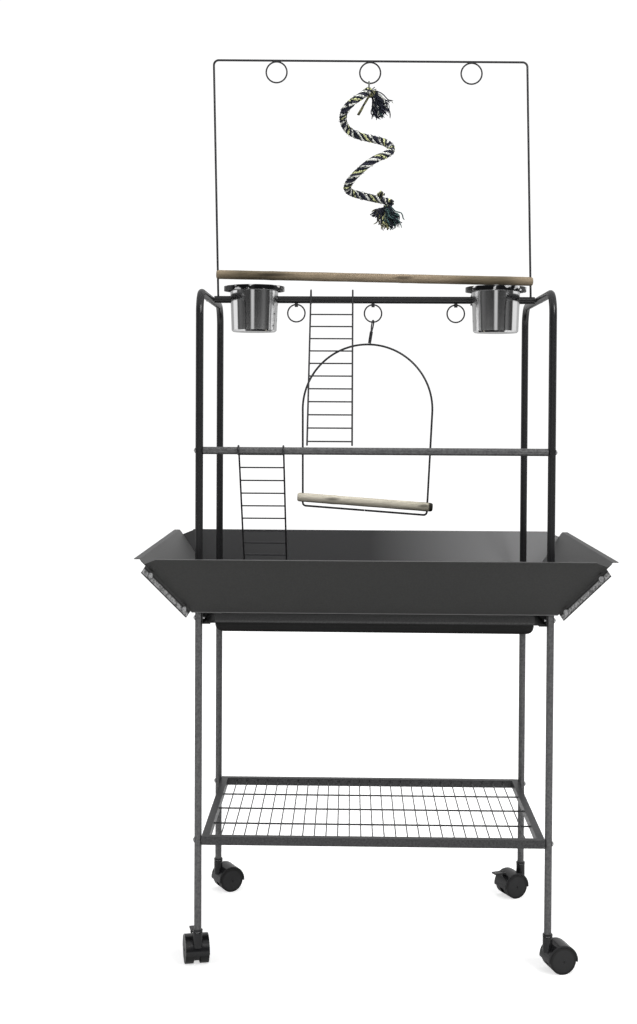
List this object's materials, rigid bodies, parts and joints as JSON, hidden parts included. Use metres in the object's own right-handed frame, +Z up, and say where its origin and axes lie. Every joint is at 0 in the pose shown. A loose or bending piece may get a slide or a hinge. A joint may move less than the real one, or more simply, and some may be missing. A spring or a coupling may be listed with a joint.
{
  "type": "parrot play stand",
  "caption": "Wheeled parrot play stand: tube frame with flared skirt and slide-out tray, wire shelf, perch arch, cups, swing, ladders and a rope toy",
  "frame": {"origin": "Floor level, under the middle of the stand", "axes": "+X to the stand's right side as seen from its front, +Y to its back, +Z up"},
  "size_m": [0.812, 0.602, 1.6264],
  "materials": {
    "frame_black": "semi-gloss powder coat",
    "frame_grey": "grey hammertone paint",
    "shelf_paint": "dark hammertone paint",
    "sheet_grey": "grey hammertone paint",
    "dark_wire": "powder-coated wire",
    "cup_steel": "polished stainless steel",
    "perch_wood": "bare natural wood",
    "bolt_steel": "zinc-plated",
    "caster_plastic": "black nylon",
    "wheel_plastic": "black nylon wheels",
    "stem_steel": "bright plated stem",
    "rope_cotton": "twisted cotton rope in several colours"
  },
  "bodies": {
    "stand": {"base_bar_front": "frame_grey", "base_bar_rear": "frame_grey", "caster_plug_front_left": "caster_plastic", "caster_plug_front_right": "caster_plastic", "caster_plug_rear_left": "caster_plastic", "caster_plug_rear_right": "caster_plastic", "cross_bar": "frame_black", "cup_holder_left": "dark_wire", "cup_holder_right": "dark_wire", "floor_grille": "dark_wire", "leg_front_left": "frame_grey", "leg_front_right": "frame_grey", "leg_rear_left": "frame_grey", "leg_rear_right": "frame_grey", "lower_frame_bolts": "bolt_steel", "mid_bar": "frame_grey", "ring_lugs": "dark_wire", "shelf_frame": "shelf_paint", "shelf_wires": "dark_wire", "side_hoop_left": "frame_black", "side_hoop_right": "frame_black", "skirt_bolts": "bolt_steel", "skirt_panel_front": "sheet_grey", "skirt_panel_left": "sheet_grey", "skirt_panel_rear": "sheet_grey", "skirt_panel_right": "sheet_grey", "top_arch": "dark_wire", "tray_runner_left": "frame_grey", "tray_runner_right": "frame_grey", "upper_frame_bolts": "bolt_steel", "upper_perch": "perch_wood"},
    "tray": {"slide_out_tray": "sheet_grey"},
    "cup_left": {"food_cup_left": "cup_steel"},
    "cup_right": {"food_cup_right": "cup_steel"},
    "ring_left": {"loose_ring_left": "dark_wire"},
    "ring_centre": {"loose_ring_centre": "dark_wire"},
    "ring_right": {"loose_ring_right": "dark_wire"},
    "swing": {"swing_hook": "dark_wire", "swing_frame": "dark_wire", "swing_perch": "perch_wood"},
    "ladder_high": {"upper_ladder": "dark_wire"},
    "ladder_low": {"lower_ladder": "dark_wire"},
    "rope_toy": {"toy_rope": "rope_cotton", "rope_tie": "rope_cotton", "rope_top_tassel": "rope_cotton", "rope_end_tassel": "rope_cotton"},
    "caster_front_left": {"caster_stem_front_left": "stem_steel", "caster_hood_front_left": "caster_plastic"},
    "wheels_front_left": {"caster_wheels_front_left": "wheel_plastic"},
    "pedal_front_left": {"brake_pedal_front_left": "caster_plastic"},
    "caster_front_right": {"caster_stem_front_right": "stem_steel", "caster_hood_front_right": "caster_plastic"},
    "wheels_front_right": {"caster_wheels_front_right": "wheel_plastic"},
    "caster_rear_left": {"caster_stem_rear_left": "stem_steel", "caster_hood_rear_left": "caster_plastic"},
    "wheels_rear_left": {"caster_wheels_rear_left": "wheel_plastic"},
    "caster_rear_right": {"caster_stem_rear_right": "stem_steel", "caster_hood_rear_right": "caster_plastic"},
    "wheels_rear_right": {"caster_wheels_rear_right": "wheel_plastic"},
    "pedal_rear_right": {"brake_pedal_rear_right": "caster_plastic"}
  },
  "joints": [
    {"name": "tray_slide", "type": "slide", "parent": "stand", "child": "tray", "axis": [0, -1, 0], "range_m": [0, 0.35]},
    {"name": "cup_lift_left", "type": "slide", "parent": "stand", "child": "cup_left", "axis": [0, 0, 1], "range_m": [0, 0.09]},
    {"name": "cup_lift_right", "type": "slide", "parent": "stand", "child": "cup_right", "axis": [0, 0, 1], "range_m": [0, 0.09]},
    {"name": "ring_left_hinge", "type": "hinge", "parent": "stand", "child": "ring_left", "pos_m": [-0.145, 0, 1.171], "axis": [1, 0, 0], "range_deg": [-80, 80]},
    {"name": "ring_centre_hinge", "type": "hinge", "parent": "stand", "child": "ring_centre", "pos_m": [-0.002, 0, 1.171], "axis": [1, 0, 0], "range_deg": [-25, 60]},
    {"name": "ring_right_hinge", "type": "hinge", "parent": "stand", "child": "ring_right", "pos_m": [0.152, 0, 1.171], "axis": [1, 0, 0], "range_deg": [-80, 80]},
    {"name": "swing_sway", "type": "hinge", "parent": "ring_centre", "child": "swing", "pos_m": [-0.002, 0, 1.1388], "axis": [0, 1, 0], "range_deg": [-20, 15]},
    {"name": "ladder_high_hinge", "type": "hinge", "parent": "stand", "child": "ladder_high", "pos_m": [-0.079, 0, 1.18], "axis": [1, 0, 0], "range_deg": [-50, 0]},
    {"name": "ladder_low_hinge", "type": "hinge", "parent": "stand", "child": "ladder_low", "pos_m": [-0.198, -0.2, 0.904], "axis": [1, 0, 0], "range_deg": [0, 50]},
    {"name": "rope_toy_hinge", "type": "hinge", "parent": "stand", "child": "rope_toy", "pos_m": [-0.01, 0, 1.5817], "axis": [1, 0, 0], "range_deg": [-60, 60]},
    {"name": "swivel_front_left", "type": "hinge", "parent": "stand", "child": "caster_front_left", "pos_m": [-0.305, -0.2, 0.063], "axis": [0, 0, 1], "continuous": true},
    {"name": "wheel_spin_front_left", "type": "hinge", "parent": "caster_front_left", "child": "wheels_front_left", "pos_m": [-0.30972, -0.17954, 0.0235], "axis": [-0.9744, -0.225, 0], "continuous": true},
    {"name": "brake_front_left", "type": "hinge", "parent": "caster_front_left", "child": "pedal_front_left", "pos_m": [-0.31415, -0.16039, 0.04816], "axis": [-0.9744, -0.225, 0], "range_deg": [0, 20]},
    {"name": "swivel_front_right", "type": "hinge", "parent": "stand", "child": "caster_front_right", "pos_m": [0.305, -0.2, 0.063], "axis": [0, 0, 1], "continuous": true},
    {"name": "wheel_spin_front_right", "type": "hinge", "parent": "caster_front_right", "child": "wheels_front_right", "pos_m": [0.32528, -0.19456, 0.0235], "axis": [-0.2588, 0.9659, 0], "continuous": true},
    {"name": "swivel_rear_left", "type": "hinge", "parent": "stand", "child": "caster_rear_left", "pos_m": [-0.305, 0.2, 0.063], "axis": [0, 0, 1], "continuous": true},
    {"name": "wheel_spin_rear_left", "type": "hinge", "parent": "caster_rear_left", "child": "wheels_rear_left", "pos_m": [-0.28646, 0.20986, 0.0235], "axis": [-0.4695, 0.8829, 0], "continuous": true},
    {"name": "swivel_rear_right", "type": "hinge", "parent": "stand", "child": "caster_rear_right", "pos_m": [0.305, 0.2, 0.063], "axis": [0, 0, 1], "continuous": true},
    {"name": "wheel_spin_rear_right", "type": "hinge", "parent": "caster_rear_right", "child": "wheels_rear_right", "pos_m": [0.28597, 0.19112, 0.0235], "axis": [0.4226, -0.9063, 0], "continuous": true},
    {"name": "brake_rear_right", "type": "hinge", "parent": "caster_rear_right", "child": "pedal_rear_right", "pos_m": [0.26815, 0.18282, 0.04816], "axis": [0.4226, -0.9063, 0], "range_deg": [0, 20]}
  ]
}
